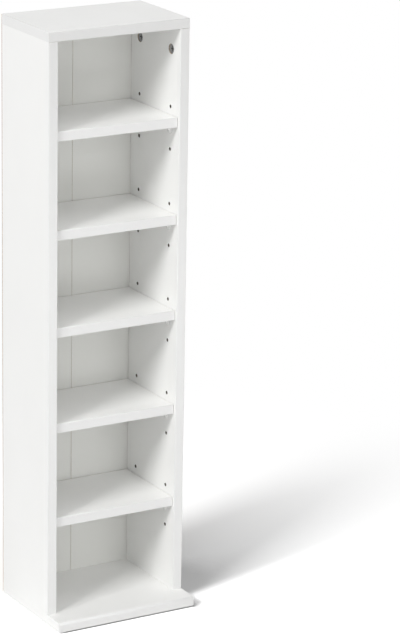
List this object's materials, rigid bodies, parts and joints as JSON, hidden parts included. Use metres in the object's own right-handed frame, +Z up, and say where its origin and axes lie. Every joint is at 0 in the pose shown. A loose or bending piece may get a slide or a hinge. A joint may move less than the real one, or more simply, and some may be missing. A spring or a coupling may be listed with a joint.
{
  "type": "cd dvd storage tower",
  "caption": "Narrow free-standing open tower for disc cases, with loose shelves on pin supports, a cam-locked top, a folded back and a base that projects in front.",
  "frame": {"origin": "centre of the footprint, on the floor under the glides", "axes": "+Z up, +X to the right as seen from the open front, +Y to the back, so the front looks along -Y"},
  "size_m": [0.23, 0.1884, 0.902],
  "materials": {
    "coated_board": "white melamine-coated chipboard, satin",
    "shelf_board": "white melamine-coated chipboard, satin",
    "coated_hardboard": "hardboard with a white foil on its front, matt",
    "paper_tape": "brown gummed paper, matt",
    "white_plastic": "white moulded plastic",
    "grey_plastic": "light grey moulded plastic",
    "cast_zinc": "dark cast zinc",
    "plated_steel": "zinc-plated steel",
    "beech": "plain beech"
  },
  "bodies": {
    "cabinet": {"base_panel": "coated_board", "top_panel": "coated_board", "side_panel_left": "coated_board", "side_panel_right": "coated_board", "back_leaf_left": "coated_hardboard", "back_leaf_right": "coated_hardboard", "back_fold_tape": "paper_tape", "cam_lock_left_front": "cast_zinc", "cam_lock_left_rear": "cast_zinc", "cam_lock_right_front": "cast_zinc", "cam_lock_right_rear": "cast_zinc", "cam_bolt_left_front": "plated_steel", "cam_bolt_left_rear": "plated_steel", "cam_bolt_right_front": "plated_steel", "cam_bolt_right_rear": "plated_steel", "base_screw_left_front": "plated_steel", "base_screw_left_rear": "plated_steel", "base_screw_right_front": "plated_steel", "base_screw_right_rear": "plated_steel", "shelf_support_1_left_front": "white_plastic", "shelf_support_1_left_rear": "white_plastic", "shelf_support_1_right_front": "white_plastic", "shelf_support_1_right_rear": "white_plastic", "shelf_support_2_left_front": "white_plastic", "shelf_support_2_left_rear": "white_plastic", "shelf_support_2_right_front": "white_plastic", "shelf_support_2_right_rear": "white_plastic", "shelf_support_3_left_front": "white_plastic", "shelf_support_3_left_rear": "white_plastic", "shelf_support_3_right_front": "white_plastic", "shelf_support_3_right_rear": "white_plastic", "shelf_support_4_left_front": "white_plastic", "shelf_support_4_left_rear": "white_plastic", "shelf_support_4_right_front": "white_plastic", "shelf_support_4_right_rear": "white_plastic", "shelf_support_5_left_front": "white_plastic", "shelf_support_5_left_rear": "white_plastic", "shelf_support_5_right_front": "white_plastic", "shelf_support_5_right_rear": "white_plastic", "glide_left_front": "grey_plastic", "glide_left_rear": "grey_plastic", "glide_right_front": "grey_plastic", "glide_right_rear": "grey_plastic", "top_dowel_left": "beech", "top_dowel_right": "beech", "base_dowel_left": "beech", "base_dowel_right": "beech"},
    "shelf_1": {"shelf_1": "shelf_board"},
    "shelf_2": {"shelf_2": "shelf_board"},
    "shelf_3": {"shelf_3": "shelf_board"},
    "shelf_4": {"shelf_4": "shelf_board"},
    "shelf_5": {"shelf_5": "shelf_board"}
  },
  "joints": [
    {"name": "shelf_1_slide", "type": "slide", "parent": "cabinet", "child": "shelf_1", "axis": [0, -1, 0], "range_m": [0, 0.16]},
    {"name": "shelf_2_slide", "type": "slide", "parent": "cabinet", "child": "shelf_2", "axis": [0, -1, 0], "range_m": [0, 0.16]},
    {"name": "shelf_3_slide", "type": "slide", "parent": "cabinet", "child": "shelf_3", "axis": [0, -1, 0], "range_m": [0, 0.16]},
    {"name": "shelf_4_slide", "type": "slide", "parent": "cabinet", "child": "shelf_4", "axis": [0, -1, 0], "range_m": [0, 0.16]},
    {"name": "shelf_5_slide", "type": "slide", "parent": "cabinet", "child": "shelf_5", "axis": [0, -1, 0], "range_m": [0, 0.16]}
  ]
}
